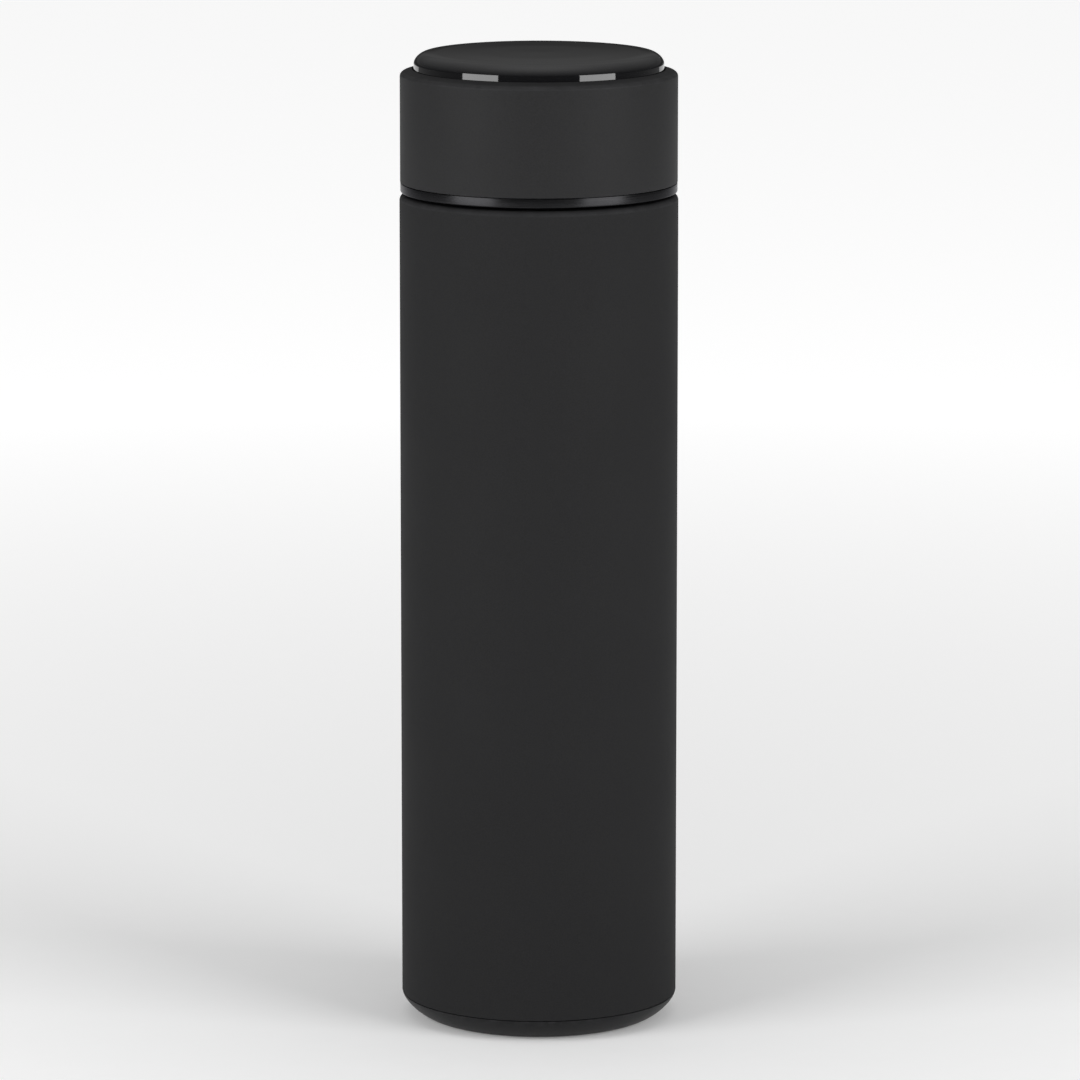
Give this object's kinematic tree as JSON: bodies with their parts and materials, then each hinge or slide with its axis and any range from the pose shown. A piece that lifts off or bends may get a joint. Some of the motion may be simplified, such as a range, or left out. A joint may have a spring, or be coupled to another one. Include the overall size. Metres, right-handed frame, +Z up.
{
  "type": "vacuum flask",
  "caption": "Slim double-wall vacuum flask with a dark matte body and a screw lid that carries a round glossy touch display.",
  "frame": {"origin": "centre of the base, on the plane that the foot ring stands on", "axes": "+Z up along the flask's axis, towards the lid; -Y is the front"},
  "size_m": [0.065, 0.065, 0.2288],
  "materials": {
    "body_paint": "soft matte",
    "cap_paint": "soft matte",
    "base_paint": "semi-gloss",
    "liner_steel": "electropolished",
    "bare_steel": "mill",
    "solder_glass": "fused",
    "getter_alloy": "sintered",
    "silicone": "translucent white",
    "dark_chrome": "dark satin",
    "core_plastic": "moulded",
    "plug_plastic": "moulded",
    "lens_black": "high gloss",
    "foam_tape": "foam",
    "board_laminate": "solder mask",
    "display_white": "moulded",
    "chip_black": "epoxy",
    "spring_steel": "plated",
    "cell_steel": "nickel plated",
    "contact_brass": "plated",
    "screw_steel": "zinc plated",
    "foam": "closed-cell foam",
    "lead_red": "insulated wire"
  },
  "bodies": {
    "flask": {"outer_shell": "body_paint", "inner_liner": "liner_steel", "outer_bottom": "bare_steel", "seal_bead": "solder_glass", "getter": "getter_alloy", "base_cover": "base_paint"},
    "seal": {"plug_seal": "silicone"},
    "lid": {"cap_sleeve": "cap_paint", "trim_ring": "dark_chrome", "lid_core": "core_plastic", "display_lens": "lens_black", "lens_tape": "foam_tape", "circuit_board": "board_laminate", "led_display": "display_white", "controller_chip": "chip_black", "touch_spring": "spring_steel", "battery_holder": "core_plastic", "coin_cell": "cell_steel", "battery_contacts": "contact_brass", "board_screws": "screw_steel", "threaded_plug": "plug_plastic", "plug_screws": "screw_steel", "insulation_foam": "foam", "sensor_cup": "liner_steel", "sensor_gasket": "silicone", "thermistor": "chip_black", "sensor_leads": "lead_red"}
  },
  "joints": [
    {"name": "lid_rise", "type": "slide", "parent": "flask", "child": "seal", "axis": [0, 0, 1], "range_m": [0, 0.02]},
    {"name": "lid_turn", "type": "hinge", "parent": "seal", "child": "lid", "pos_m": [0, 0, 0.2], "axis": [0, 0, 1], "range_deg": [0, 1440]}
  ],
  "couplings": [
    {"joint": "lid_rise", "follows": "lid_turn", "m_per_rad": 0.00079577}
  ]
}
